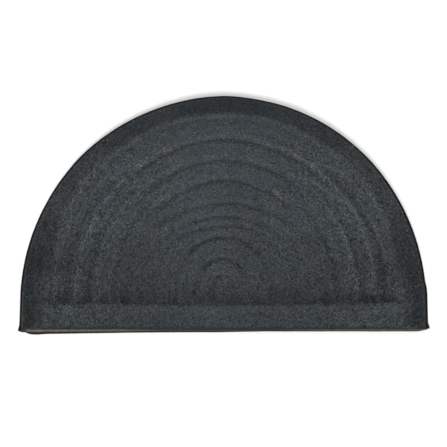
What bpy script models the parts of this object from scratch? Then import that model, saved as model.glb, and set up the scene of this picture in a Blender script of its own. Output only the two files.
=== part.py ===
"""A half-round coir doormat: a carved coir pile bonded to a black vinyl backing.

Metres, +Z up. The mat lies on z = 0 with its straight cut edge towards -Y, and the
origin is under the middle of its bounding box.
"""

import math

import bmesh
import bpy

# Driving dimensions
WIDTH = 0.750
DEPTH = 0.455
THICKNESS = 0.017
BACKING_THICKNESS = 0.003
BOND_GAP = 0.0003

# Outline: short straight sides, then one elliptical arch
SIDE_LENGTH = 0.0595
BACKING_LIP = 0.0046
PILE_LEAN = 0.0018
PILE_EDGE_RADIUS = 0.003
BACKING_EDGE_RADIUS = 0.0008

# The straight edge was cut at a slant, so the foot of its wall stands further out at the left
SPREAD_LEFT = 0.006
SPREAD_RIGHT = 0.0014
SPREAD_TAPER = 0.022
PILE_SPREAD_SHARE = 0.45

# The raised frame around the carved field
FRAME_SIDE = 0.044
FRAME_TOP = 0.0363
BAND_DEPTH = 0.0465
FRAME_RISE = 0.0025
FRAME_SLOPE = 0.006
BAND_SLOPE = 0.005

# The carved arches: straight feet, then a half ellipse above the spring line
ARCH_CENTRE = 0.0025
ARCH_SPRING = 0.079
GROOVE_FOOT = 0.053
GROOVE_WIDTH = 0.0165
GROOVE_FLOOR = 0.003
GROOVE_DEPTH = 0.0045
PIT_WIDTH = 0.022
PIT_LENGTH = 0.016
PIT_DEPTH = 0.0052
KNEE_SHARE = 0.62

# Each row: half the distance between an arch's feet, height of its crown over the spring line
ARCHES = (
    (0.2950, 0.2828),
    (0.2535, 0.2420),
    (0.2040, 0.2040),
    (0.1820, 0.1600),
    (0.1510, 0.1350),
    (0.1330, 0.1170),
    (0.0900, 0.0955),
    (0.0480, 0.0550),
    (0.0185, 0.0230),
)

OUTLINE_STEPS = 84
GROOVE_STEP = 0.015
TAPER_STEPS = 3
CUTTER_HEADROOM = 0.004
WELD_DISTANCE = 0.00001
FLAT_ANGLE = 0.001
SHARP_ANGLE = math.radians(35)

COIR_COLOUR = (0.052, 0.056, 0.060)
COIR_ROUGHNESS = 0.95
VINYL_COLOUR = (0.018, 0.018, 0.019)
VINYL_ROUGHNESS = 0.55

BACK = DEPTH / 2
FRONT = -DEPTH / 2 + SPREAD_LEFT
SPRING = FRONT + SIDE_LENGTH
PILE_BASE = BACKING_THICKNESS + BOND_GAP
FIELD_TOP = THICKNESS - FRAME_RISE


def clear_scene():
    for scene_object in list(bpy.data.objects):
        bpy.data.objects.remove(scene_object, do_unlink=True)


def make_collection(name):
    collection = bpy.data.collections.new(name)
    bpy.context.scene.collection.children.link(collection)
    return collection


def make_material(name, colour, roughness):
    material = bpy.data.materials.new(name)
    material.use_nodes = True
    shader = material.node_tree.nodes["Principled BSDF"]
    shader.inputs["Base Color"].default_value = (*colour, 1.0)
    shader.inputs["Roughness"].default_value = roughness
    shader.inputs["Metallic"].default_value = 0.0
    return material


def front_spread(x, half_width):
    """How far the foot of the cut edge stands out at x, fading to nothing at both corners."""
    straight = half_width - SPREAD_TAPER
    along = min(1.0, max(0.0, (x + straight) / (2 * straight)))
    spread = SPREAD_LEFT + (SPREAD_RIGHT - SPREAD_LEFT) * along
    fade = min(1.0, (half_width - abs(x)) / SPREAD_TAPER)
    return spread * math.sin(math.pi / 2 * fade)


def arch_points(half_width, rise, spring, steps):
    """Half an ellipse from the right end of the spring line, over the crown, to the left end."""
    angles = [math.pi * i / steps for i in range(steps + 1)]
    return [(half_width * math.cos(a), spring + rise * math.sin(a)) for a in angles]


def front_points(half_width, spread_share):
    """The cut edge from left to right, with a few points more where it tapers into a corner."""
    taper = [half_width - SPREAD_TAPER * i / TAPER_STEPS for i in range(TAPER_STEPS + 1)]
    xs = [-x for x in taper] + taper[::-1]
    return [(x, FRONT - spread_share * front_spread(x, half_width)) for x in xs]


def mat_outline(inset, spread_share):
    """The half-round outline, drawn in by inset on its sides and arch."""
    half_width = WIDTH / 2 - inset
    rise = BACK - inset - SPRING
    arch = arch_points(half_width, rise, SPRING, OUTLINE_STEPS)
    return arch + front_points(half_width, spread_share)


def field_outline(grow, foot):
    """The carved field's edge, made wider all round by grow, with its foot at that y."""
    half_width = WIDTH / 2 - FRAME_SIDE + grow
    spring = FRONT + ARCH_SPRING
    rise = BACK - FRAME_TOP - spring + grow
    arch = arch_points(half_width, rise, spring, OUTLINE_STEPS)
    return arch + [(-half_width, foot), (half_width, foot)]


def shade_smooth(mesh):
    mesh.shade_smooth()
    mesh.set_sharp_from_angle(angle=SHARP_ANGLE)


def loft(name, low_outline, high_outline, z_low, z_high, collection):
    """A solid between two outlines that have the same number of points."""
    shape = bmesh.new()
    low = [shape.verts.new((x, y, z_low)) for x, y in low_outline]
    high = [shape.verts.new((x, y, z_high)) for x, y in high_outline]
    shape.faces.new(low[::-1])
    shape.faces.new(high)
    for i, corner in enumerate(low):
        after = (i + 1) % len(low)
        shape.faces.new((corner, low[after], high[after], high[i]))
    mesh = bpy.data.meshes.new(name)
    shape.to_mesh(mesh)
    shape.free()
    shade_smooth(mesh)
    solid = bpy.data.objects.new(name, mesh)
    collection.objects.link(solid)
    return solid


def make_curve(name, points, closed, collection):
    curve = bpy.data.curves.new(name, "CURVE")
    spline = curve.splines.new("POLY")
    spline.points.add(len(points) - 1)
    for point, place in zip(spline.points, points):
        point.co = (*place, 0.0, 1.0)
    spline.use_cyclic_u = closed
    curve_object = bpy.data.objects.new(name, curve)
    collection.objects.link(curve_object)
    return curve_object


def curve_to_mesh(curve_object, collection):
    """A mesh object in the curve's place, its loose caps welded on."""
    name = curve_object.name
    bpy.context.view_layer.update()
    evaluated = curve_object.evaluated_get(bpy.context.evaluated_depsgraph_get())
    mesh = bpy.data.meshes.new_from_object(evaluated)
    shape = bmesh.new()
    shape.from_mesh(mesh)
    bmesh.ops.remove_doubles(shape, verts=shape.verts, dist=WELD_DISTANCE)
    bmesh.ops.dissolve_limit(shape, angle_limit=FLAT_ANGLE, verts=shape.verts, edges=shape.edges)
    bmesh.ops.recalc_face_normals(shape, faces=shape.faces)
    shape.to_mesh(mesh)
    shape.free()
    shade_smooth(mesh)
    place = curve_object.matrix_world.copy()
    bpy.data.objects.remove(curve_object, do_unlink=True)
    mesh_object = bpy.data.objects.new(name, mesh)
    mesh_object.matrix_world = place
    collection.objects.link(mesh_object)
    return mesh_object


def hide_cutter(cutter):
    cutter.hide_render = True
    cutter.display_type = "WIRE"


def round_rim(solid, height, radius, segments):
    """Rounds the edges whose two ends lie at that height."""
    at_height = [v.index for v in solid.data.vertices if abs(v.co.z - height) < WELD_DISTANCE]
    rim = solid.vertex_groups.new(name="rim")
    rim.add(at_height, 1.0, "REPLACE")
    bevel = solid.modifiers.new("rounded rim", "BEVEL")
    bevel.limit_method = "VGROUP"
    bevel.vertex_group = rim.name
    bevel.width = radius
    bevel.segments = segments


def make_backing(collection):
    """The black vinyl sheet, a flat plate that shows as a thin lip around the pile."""
    outline = make_curve("backing", mat_outline(0.0, 1.0), True, collection)
    outline.data.dimensions = "2D"
    outline.data.fill_mode = "BOTH"
    outline.data.extrude = BACKING_THICKNESS / 2
    outline.location.z = BACKING_THICKNESS / 2
    backing = curve_to_mesh(outline, collection)
    round_rim(backing, BACKING_THICKNESS / 2, BACKING_EDGE_RADIUS, 1)
    backing.data.materials.append(make_material("vinyl", VINYL_COLOUR, VINYL_ROUGHNESS))
    return backing


def make_field_cutter(collection):
    """Takes the carved field down below the frame, with a sloped edge all round."""
    band_edge = FRONT + BAND_DEPTH
    above = 0.5 + CUTTER_HEADROOM / FRAME_RISE
    low = field_outline(-FRAME_SLOPE / 2, band_edge + BAND_SLOPE / 2)
    high = field_outline(FRAME_SLOPE * above, band_edge - BAND_SLOPE * above)
    cutter = loft("field_cutter", low, high, FIELD_TOP, THICKNESS + CUTTER_HEADROOM, collection)
    hide_cutter(cutter)


def make_groove_profile(collection):
    """The cutting wheel's section: a narrow floor, sloped walls, and room above the ridges."""
    flare = GROOVE_WIDTH / 2 - GROOVE_FLOOR / 2
    wide = GROOVE_WIDTH / 2 + flare * CUTTER_HEADROOM / GROOVE_DEPTH
    rim = (wide, CUTTER_HEADROOM)
    knee = ((GROOVE_WIDTH + GROOVE_FLOOR) / 4, -GROOVE_DEPTH * KNEE_SHARE)
    floor = (GROOVE_FLOOR / 2, -GROOVE_DEPTH)
    right = [floor, knee, rim]
    left = [(-x, y) for x, y in right[::-1]]
    profile = make_curve("groove_profile", right + left, True, collection)
    profile.data.dimensions = "2D"
    hide_cutter(profile)
    return profile


def groove_path(half_width, rise):
    """From one foot up its straight leg, over the crown and down to the other foot."""
    foot = FRONT + GROOVE_FOOT
    spring = FRONT + ARCH_SPRING
    length = math.pi * (half_width + rise) / 2
    steps = 2 * max(4, round(length / GROOVE_STEP / 2))
    arch = arch_points(half_width, rise, spring, steps)
    return [(half_width, foot)] + arch + [(-half_width, foot)]


def make_groove_cutter(number, half_width, rise, profile, collection):
    path = make_curve(f"groove_cutter_{number}", groove_path(half_width, rise), False, collection)
    path.data.dimensions = "3D"
    path.data.twist_mode = "Z_UP"
    path.data.bevel_mode = "OBJECT"
    path.data.bevel_object = profile
    path.data.use_fill_caps = True
    path.location = (ARCH_CENTRE, 0.0, FIELD_TOP)
    hide_cutter(curve_to_mesh(path, collection))


def make_pit_cutter(number, x, collection):
    """The hollow where the wheel was set down at an arch's foot."""
    shape = bmesh.new()
    bmesh.ops.create_uvsphere(shape, u_segments=12, v_segments=8, radius=0.5)
    bmesh.ops.scale(shape, vec=(PIT_WIDTH, PIT_LENGTH, 2 * PIT_DEPTH), verts=shape.verts)
    mesh = bpy.data.meshes.new(f"pit_cutter_{number}")
    shape.to_mesh(mesh)
    shape.free()
    shade_smooth(mesh)
    pit = bpy.data.objects.new(mesh.name, mesh)
    pit.location = (ARCH_CENTRE + x, FRONT + GROOVE_FOOT + PIT_LENGTH / 3, FIELD_TOP)
    collection.objects.link(pit)
    hide_cutter(pit)


def subtract(solid, collection, name):
    cut = solid.modifiers.new(name, "BOOLEAN")
    cut.operation = "DIFFERENCE"
    cut.solver = "EXACT"
    cut.operand_type = "COLLECTION"
    cut.collection = collection


def make_pile(collection, field_cutters, groove_cutters):
    """The coir, bonded to the backing: a raised frame around a field of carved arches."""
    base = mat_outline(BACKING_LIP, PILE_SPREAD_SHARE)
    top = mat_outline(BACKING_LIP + PILE_LEAN, 0.0)
    pile = loft("coir_pile", base, top, PILE_BASE, THICKNESS, collection)
    round_rim(pile, THICKNESS, PILE_EDGE_RADIUS, 2)
    subtract(pile, field_cutters, "sunk field")
    subtract(pile, groove_cutters, "carved arches")
    pile.data.materials.append(make_material("coir", COIR_COLOUR, COIR_ROUGHNESS))
    return pile


def main():
    clear_scene()
    mat = make_collection("coir_doormat")
    field_cutters = make_collection("field_cutters")
    groove_cutters = make_collection("groove_cutters")
    profiles = make_collection("cutter_profiles")
    make_field_cutter(field_cutters)
    profile = make_groove_profile(profiles)
    for number, (half_width, rise) in enumerate(ARCHES, 1):
        make_groove_cutter(number, half_width, rise, profile, groove_cutters)
        make_pit_cutter(f"{number}_right", half_width, groove_cutters)
        make_pit_cutter(f"{number}_left", -half_width, groove_cutters)
    make_backing(mat)
    make_pile(mat, field_cutters, groove_cutters)


main()
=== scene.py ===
import math

import bpy
import numpy as np
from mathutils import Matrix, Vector


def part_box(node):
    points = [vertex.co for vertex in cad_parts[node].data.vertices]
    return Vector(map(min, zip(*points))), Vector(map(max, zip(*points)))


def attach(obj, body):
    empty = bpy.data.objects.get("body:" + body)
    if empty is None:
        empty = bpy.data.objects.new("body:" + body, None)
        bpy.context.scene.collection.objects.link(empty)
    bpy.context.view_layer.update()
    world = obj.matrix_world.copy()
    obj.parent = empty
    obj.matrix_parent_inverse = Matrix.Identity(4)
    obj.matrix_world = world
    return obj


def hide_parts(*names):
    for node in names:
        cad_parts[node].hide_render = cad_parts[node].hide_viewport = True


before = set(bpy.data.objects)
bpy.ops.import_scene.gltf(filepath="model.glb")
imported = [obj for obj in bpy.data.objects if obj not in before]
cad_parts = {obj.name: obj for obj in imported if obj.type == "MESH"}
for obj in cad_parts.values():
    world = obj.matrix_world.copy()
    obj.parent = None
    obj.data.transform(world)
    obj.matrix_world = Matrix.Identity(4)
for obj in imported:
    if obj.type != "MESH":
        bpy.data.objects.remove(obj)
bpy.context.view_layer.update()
backingLow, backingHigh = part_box("backing")
pileLow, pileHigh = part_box("coir_pile")

# the half-round outline, in metres: straight sides, then half an ellipse
matShape = {
    "halfWidth": backingHigh.x,
    "back": backingHigh.y,
    "slant": 0.006,  # how far the front stands out at the left
    "sideLength": 0.0595,
    "spreadAt": (-0.352, -0.341, -0.325, -0.28, -0.19, -0.10, 0.0, 0.08, 0.37),  # along the front
    "spread": (0.0074, 0.0078, 0.0063, 0.0059, 0.0044, 0.0034, 0.0032, 0.0017, 0.0019),  # of the cut foot
    "taperAt": (0.0, 0.0015, 0.004, 0.007, 0.0112, 0.0143, 0.0165, 0.023),  # in from the sides
    "taper": (0.12, 0.19, 0.32, 0.42, 0.42, 0.64, 0.82, 1.0),  # the foot comes back there
    "pileSpreadShare": 0.45,  # the pile's foot stands out less than the backing
    "cornerFlare": (0.0022, 0.0026),  # the left and right side turn out a little at the cut edge
    "flareLength": 0.011,
    "rightCut": 0.0040,  # the backing's right corner was cut back
    "rightCutLength": 0.016,
}
matShape["front"] = backingLow.y + matShape["slant"]
matShape["spring"] = matShape["front"] + matShape["sideLength"]
matShape["rise"] = matShape["back"] - matShape["spring"]

# the carved face: a raised frame, a sunk field and the arches in it. What is uneven has how much,
# how large its patches are and a seed. What changes round the arches goes from the feet to the crown
relief = {
    "top": pileHigh.z,
    "fieldDrop": 0.0025,
    "frameSide": 0.044,
    "frameTop": 0.0363,
    "widerAt": (0.0, 0.10, 0.17, 0.25, 0.34, 0.47, 1.05, 1.20, 1.36, 1.47),  # angles round the arches
    "wider": (0.0, 0.0105, 0.0100, 0.0075, 0.0042, 0.0, 0.0, -0.0010, -0.0008, 0.0018),  # the frame there
    "frameStray": (0.0012, 0.035, 3),
    "frameSlope": (0.0060, 0.0026),
    "frameSlopeAt": (0.5, 1.0),
    "bandDepth": 0.0465,
    "bandDeeper": (-0.0012, 0.0018),  # in the middle and towards the sides
    "bandDeeperAt": (0.12, 0.20),
    "bandStray": (0.001, 0.03, 4),
    "bandSlope": 0.0060,
    "archSpring": 0.079,  # from the front
    "grooveFoot": 0.053,
    "footFade": 0.008,
    "grooveDepth": 0.0045,
    "grooveUneven": (0.25, 0.045, 40),
    "archCentre": (0.0042, 0.0025),  # set a little to the right
    "archCentreAt": (0.5, 1.1),
    "innerLeft": 0.0045,  # the arches in the middle sit further left
    "innerWidth": 0.20,  # half width from which an arch no longer does
    "innerDeeper": (1.60, 0.62),  # and are deeper, with darker painted shade, on the left than on the right
    "fuller": 0.0035,  # the middle arches have a full left shoulder
    "fullerAt": (0.78, 0.22),  # its angle and spread
    "fullerHalfWidth": (0.175, 0.060),  # of the arches that do: middle and spread
    "innerFlank": (0.0120, 0.0090),  # the flank towards the middle
    "outerFlank": (0.0110, 0.0072),
    "flankAt": (0.8, 1.1),
    "ridgeWidth": 0.0042,
    "ridgeRise": 0.0035,  # for a ridge of full painted highlight
    "pitHalfWidth": 0.0140,
    "pitHalfLength": 0.0115,
    "pitBack": 0.4,  # of its half length behind the grooves' foot
    "pitReach": 1.3,
    "pitRagged": (0.55, 0.010, 61),
    "pitSideRagged": (0.6, 0.009, 62),
    "pitDepth": 0.0035,
    "wander": (0.0012, 0.030, 20),  # how a groove strays from its line
    "ground": ((0.00035, 0.018, 5), (0.0003, 0.007, 6)),
}
relief["spring"] = matShape["front"] + relief["archSpring"]

# the carved lines: half width at the feet, crown over the spring line, then how strongly each is cut
# and how dark its painted shade is at the stops below. An outer arch has two: one shows outside its
# painted ridge highlight at the legs, the other inside it over the crown
lineStops = (0.0, 0.50, 0.80, 0.93, math.pi / 2)  # angles round the arches, from the feet to the crown
grooves = (
    (0.2925, 0.2885, (0.9, 0.8, 0.7, 0.0, 0.0), (0.22, 0.09, 0.10, 0.00, 0.00)),
    (0.2592, 0.2828, (0.0, 0.0, 0.0, 0.8, 1.0), (0.00, 0.00, 0.00, 0.11, 0.11)),
    (0.2520, 0.2505, (0.9, 0.8, 0.6, 0.0, 0.0), (0.15, 0.11, 0.09, 0.00, 0.00)),
    (0.2175, 0.2420, (0.0, 0.0, 0.0, 0.7, 1.0), (0.00, 0.00, 0.00, 0.10, 0.10)),
    (0.2030, 0.2160, (0.8, 0.6, 0.5, 0.0, 0.0), (0.17, 0.10, 0.08, 0.00, 0.00)),
    (0.1780, 0.2030, (0.0, 0.0, 0.0, 0.6, 1.0), (0.00, 0.00, 0.00, 0.08, 0.08)),
    (0.1855, 0.1590, (0.4, 0.5, 0.5, 0.6, 0.9), (0.05, 0.05, 0.05, 0.06, 0.10)),
    (0.1545, 0.1340, (0.3, 0.4, 0.3, 0.5, 0.8), (0.03, 0.03, 0.02, 0.04, 0.12)),
    (0.1360, 0.1165, (0.3, 0.3, 0.2, 0.5, 0.8), (0.02, 0.03, 0.01, 0.04, 0.15)),
    (0.0885, 0.0955, (0.3, 0.6, 0.7, 1.0, 0.8), (0.03, 0.07, 0.09, 0.16, 0.11)),
    (0.0465, 0.0550, (0.2, 0.4, 0.9, 1.1, 0.7), (0.00, 0.03, 0.15, 0.19, 0.10)),
    (0.0180, 0.0230, (0.3, 0.6, 0.6, 0.8, 0.5), (0.04, 0.06, 0.07, 0.12, 0.06)),
)

# the ridges between them, with a painted highlight: half width, crown over the spring line, how strong at
# ridgeStops
ridgeStops = (0.0, 0.09, 0.35, 0.80, 1.25, math.pi / 2)
ridges = (
    (0.2735, 0.2895, (0.32, 0.33, 0.38, 0.20, 0.12, 0.07)),
    (0.2375, 0.2515, (0.15, 0.16, 0.20, 0.10, 0.08, 0.06)),
    (0.1950, 0.2130, (0.05, 0.06, 0.09, 0.08, 0.06, 0.06)),
    (0.3150, 0.3150, (0.22, 0.04, 0.00, 0.00, 0.00, 0.00)),
    (0.3290, 0.3290, (0.20, 0.04, 0.00, 0.00, 0.00, 0.00)),
)

# the hollows at the arches' feet: half width, how deep and how wide
footPits = (
    (0.3010, 1.0, 0.85),
    (0.2600, 1.0, 1.05),
    (0.2220, 0.8, 0.90),
    (0.1880, 1.1, 0.80),
    (0.1690, 0.4, 0.50),
    (0.1330, 0.4, 0.90),
    (0.0990, 0.2, 1.00),
    (0.0600, 0.2, 1.00),
    (0.0185, 0.3, 0.80),
)

# how light the pile is painted against a crown's ridge, painted shade and highlights included, at these
# angles round to the crown
aroundStops = (0.0, 0.35, 0.8, 1.25, math.pi / 2)
shades = {
    "field": (0.775, 0.865, 0.965, 1.01, 1.005),
    "range": (0.2, 1.3),
    "frameStops": (0.0, 0.30, 0.44, 0.62, 0.80, 0.96, 1.25, math.pi / 2),
    "frame": (0.61, 0.54, 0.64, 0.70, 0.67, 0.58, 0.54, 0.47),
    "legFrame": 0.34,  # how much darker the frame gets outwards beside the legs
    "legFrameTop": 0.35,
    "legFrameOut": (0.006, 0.018),  # where that starts, and over what width
    "rimLight": (0.15, 0.12, 0.03, 0.10, 0.20),  # the outermost tufts catch the light
    "leftRimLight": 0.28,  # and more so beside the left leg
    "leftRimTop": 0.5,
    "rimReach": 0.0088,
    "rimFade": 0.001,
    "gutterShade": 0.18,  # painted shade of a dip along the frame at the crown
    "gutterFrom": (1.0, 0.35),
    "gutterIn": 0.0135,
    "gutterWidth": 0.0050,
    "lip": (0.0, 0.15, 0.10, 0.17, 0.19),  # painted highlight along the frame's inner edge
    "lipIn": 0.0062,
    "lipWidth": 0.0032,
    "footRowShade": 0.83,  # painted shade over the row in which the arches' feet stand
    "footRowBack": 0.031,
    "footRowFade": 0.011,
    "footRowRagged": (0.006, 0.013, 64),
    "footRowBlotch": (0.14, 0.009, 65),
    "footRowEnd": (0.305, 0.015),  # half its length, and the fade there
    # painted shade in the hollows at the arches' feet
    "pit": 0.72,
    "band": 0.83,
    "bandEdgeHighlight": 0.12,  # painted highlight on the ridge where the band begins
    "bandEdgeIn": 0.035,
    "bandEdgeWidth": 0.008,
    "frontLine": 0.42,
    "frontLineDepth": 0.0085,
    "comb": 0.09,  # streaks that run with the arches
    "combBeside": 1.0,  # how much stronger beside the legs
    "combStreaks": (0.0034, 0.045, 66),  # width, length and seed
    "mottle": 0.0010,  # how ragged the edges between shades are
    "clouds": ((0.02, 0.007, 7), (0.03, 0.011, 8), (0.03, 0.024, 9), (0.03, 0.06, 10)),
    "cloudBeside": 0.8,  # how much cloudier the dye is beside the legs
}


tiny = 1e-6  # places nearer than this are one


def smooth(t):
    t = np.clip(t, 0.0, 1.0)
    return t * t * (3 - 2 * t)


# 0 up to a start and 1 from a width later
def fadeIn(value, start, width):
    return smooth((value - start) / width)


# 1 on a line and 0 a width or two away from it
def nearLine(away, width):
    return np.exp(-(away / width) ** 2)


latticeSize = 256  # cells each way, after which the noise repeats


# value noise on a square lattice, about -1 to 1
def softNoise(x, y, cell, seed):
    lattice = np.random.default_rng(seed).uniform(-1, 1, (latticeSize, latticeSize))
    column, row = np.floor(x / cell).astype(int), np.floor(y / cell).astype(int)
    across, along = smooth(x / cell - column), smooth(y / cell - row)
    left, right = column % latticeSize, (column + 1) % latticeSize
    low, high = (
        lattice[left, line] * (1 - across) + lattice[right, line] * across
        for line in (row % latticeSize, (row + 1) % latticeSize)
    )
    return low * (1 - along) + high * along


# soft noise from settings that hold its amount, cell and seed
def unevenBy(x, y, settings, more=0):
    amount, cell, seed = settings
    return amount * softNoise(x, y, cell, seed + more)


def fromFront(y):
    return y - matShape["front"]


# how far a point lies outside (+) or inside (-) an arch with straight legs
def archOffset(x, y, halfWidth, rise, spring):
    across, up = x / halfWidth, np.maximum(y - spring, 0.0) / rise
    reach = np.hypot(across, up)
    steep = np.hypot(across / halfWidth, up / rise) / np.maximum(reach, tiny)
    return (reach - 1) / np.maximum(steep, 0.5 / halfWidth)


# how far inside the mat's sides and arch a point lies
def insideArch(x, y):
    return -archOffset(x, y, matShape["halfWidth"], matShape["rise"], matShape["spring"])


# how far the cut foot stands out along the front
def frontSpread(x):
    spread = np.interp(x, matShape["spreadAt"], matShape["spread"])
    taper = np.interp(matShape["halfWidth"] - np.abs(x), matShape["taperAt"], matShape["taper"])
    cut = matShape["rightCut"] * smooth(1 - (matShape["halfWidth"] - x) / matShape["rightCutLength"])
    return spread * taper - cut


handCut = {
    "legOut": 0.0022,  # the right leg was cut a little wide
    "legFrom": (0.8, 0.2),  # across, as a share of the half width
    "legTop": 0.096,
    "legFade": 0.020,
    "archRight": 0.0010,  # the arch leans to the right
    "crownUp": 0.0014,  # and its crown is a little full
    "crownFrom": (0.6, 0.4),  # up, as a share of the rise
    "crownWidth": 0.16,
    "strayAt": (-0.33, -0.27, -0.20, -0.14, -0.07, 0.0, 0.07, 0.22, 0.29, 0.34),  # across
    "stray": (0.0, 0.0012, 0.0, -0.0011, -0.0006, 0.0006, -0.0003, 0.0011, 0.0010, 0.0),
    "strayRise": 0.4,  # the share of the rise from which it is in full
}


# the true half-round shape, moved to where the knife went
def cutByHand(points):
    s = handCut
    moved = np.array(points, float)
    x, y = moved[:, 0], moved[:, 1]
    outer = fadeIn(x / matShape["halfWidth"], *s["legFrom"])
    leg = smooth((s["legTop"] - fromFront(y)) / s["legFade"])
    up = np.clip((y - matShape["spring"]) / matShape["rise"], 0, 1)
    crown = fadeIn(up, *s["crownFrom"]) * nearLine(x, s["crownWidth"])
    stray = np.interp(x, s["strayAt"], s["stray"]) * smooth(up / s["strayRise"])
    moved[:, 0] = x + s["legOut"] * outer * leg + s["archRight"] * smooth(up)
    moved[:, 1] = y + s["crownUp"] * crown + stray
    return moved


# across and up as shares of the outline's half width and rise
def archShares(x, y):
    up = np.maximum(y - relief["spring"], 0) / (matShape["back"] - relief["spring"])
    return np.abs(x) / matShape["halfWidth"], up


# the angle round the arches, 0 at the feet and half pi at the crown
def aroundArch(x, y):
    across, up = archShares(x, y)
    return np.arctan2(up, across)


# how far out a point lies, 0 in the middle and 1 at the outline
def archReach(x, y):
    return np.hypot(*archShares(x, y))


outerArches = (0.45, 0.2)  # how far out they begin, and the fade
crownTurn = (0.9, 0.4)  # the angle from the legs to the crown, and the fade


# 1 beside the legs, where the pile looks coarser, and 0 at the crown and in the middle
def besideLegs(x, y):
    return fadeIn(archReach(x, y), *outerArches) * (1 - fadeIn(aroundArch(x, y), *crownTurn))


# 1 over the crown's outer arches, where the pile looks smooth
def atCrown(x, y):
    return fadeIn(archReach(x, y), *outerArches) * fadeIn(aroundArch(x, y), *crownTurn)


# how far outside the frame's inner edge a point lies
def frameOffset(x, y):
    halfWidth = matShape["halfWidth"] - relief["frameSide"]
    rise = matShape["back"] - relief["frameTop"] - relief["spring"]
    wider = np.interp(aroundArch(x, y), relief["widerAt"], relief["wider"])
    return archOffset(x, y, halfWidth, rise, relief["spring"]) + wider + unevenBy(x, y, relief["frameStray"])


# 1 on the raised frame, 0 in the carved field
def frameShare(x, y):
    slope = np.interp(aroundArch(x, y), relief["frameSlopeAt"], relief["frameSlope"])
    return smooth(frameOffset(x, y) / slope + 0.5)


# 1 on the raised band at the front
def bandShare(x, y):
    deeper = np.interp(np.abs(x), relief["bandDeeperAt"], relief["bandDeeper"])
    edge = matShape["front"] + relief["bandDepth"] + deeper + unevenBy(x, y, relief["bandStray"])
    return smooth((edge - y) / relief["bandSlope"] + 0.5)


# across, from the middle of an arch
def fromCentre(x, y, halfWidth):
    inner = smooth(1 - halfWidth / relief["innerWidth"])
    centre = np.interp(aroundArch(x, y), relief["archCentreAt"], relief["archCentre"])
    return x - centre + relief["innerLeft"] * inner


# how far outside (+) or inside (-) a carved line a point lies
def lineOffset(x, y, halfWidth, rise, number):
    stray = unevenBy(x, y, relief["wander"], number)
    middle, spread = relief["fullerHalfWidth"]
    angle, turnSpread = relief["fullerAt"]
    fuller = np.where(x < 0, relief["fuller"], 0) * nearLine(halfWidth - middle, spread)
    fuller = fuller * nearLine(aroundArch(x, y) - angle, turnSpread)
    return archOffset(fromCentre(x, y, halfWidth), y, halfWidth, rise, relief["spring"]) + stray - fuller


# for each carved line: its section, 1 at the bottom and 0 on the ridges, how strongly it is cut and how dark
# its painted shade is
def grooveSections(x, y):
    foot = smooth((fromFront(y) - relief["grooveFoot"]) / relief["footFade"] + 0.5)
    around = aroundArch(x, y)
    inner = np.interp(around, relief["flankAt"], relief["innerFlank"])
    outer = np.interp(around, relief["flankAt"], relief["outerFlank"])
    for number, (halfWidth, rise, strength, dark) in enumerate(grooves):
        away = lineOffset(x, y, halfWidth, rise, number // 2)
        flank = np.where(away < 0, inner, outer)
        deeper = np.interp(x / halfWidth, (-1, 1), relief["innerDeeper"])
        deeper = 1 + (deeper - 1) * smooth(2 - 2 * halfWidth / relief["innerWidth"])
        section = foot * (0.5 - 0.5 * np.cos(np.pi * np.clip(1 - np.abs(away) / flank, 0, 1)))
        strength, dark = (deeper * np.interp(around, lineStops, stops) for stops in (strength, dark))
        yield section, strength, dark


# painted highlight on the ridges between the carved lines
def paintedRidgeHighlight(x, y):
    foot = smooth((fromFront(y) - relief["grooveFoot"]) / relief["footFade"] - 1)
    around = aroundArch(x, y)
    light = np.zeros_like(x)
    for number, (halfWidth, rise, lights) in enumerate(ridges):
        away = lineOffset(x, y, halfWidth, rise, number)
        light = light + np.interp(around, ridgeStops, lights) * nearLine(away, relief["ridgeWidth"]) * foot
    return light


# 1 in the middle of the hollow where the cutter was set down at each foot
def pitShare(x, y):
    halfLength = relief["pitHalfLength"]
    row = (fromFront(y) - relief["grooveFoot"] - relief["pitBack"] * halfLength) / halfLength
    row = row + unevenBy(x, y, relief["pitRagged"])
    ragged = unevenBy(x, y, relief["pitSideRagged"])
    share = np.zeros_like(x)
    for halfWidth, deep, wide in footPits:
        side = (np.abs(fromCentre(x, y, halfWidth)) - halfWidth) / (relief["pitHalfWidth"] * wide) + ragged
        share = np.maximum(share, deep * smooth(relief["pitReach"] - np.sqrt(side ** 2 + row ** 2)))
    return share


# how deep the grooves and pits are cut
def carving(x, y):
    depth = relief["pitDepth"] * pitShare(x, y)
    for number, (section, strength, _) in enumerate(grooveSections(x, y)):
        uneven = 1 + unevenBy(x, y, relief["grooveUneven"], number)
        depth = np.maximum(depth, relief["grooveDepth"] * strength * uneven * section)
    return depth


# height of the fibre tips
def pileTop(x, y):
    raised = np.maximum(frameShare(x, y), bandShare(x, y))
    ground = sum(unevenBy(x, y, layer) for layer in relief["ground"])
    ridge = relief["ridgeRise"] * paintedRidgeHighlight(x, y)
    return relief["top"] - relief["fieldDrop"] * (1 - raised) - carving(x, y) + ridge + ground
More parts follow.
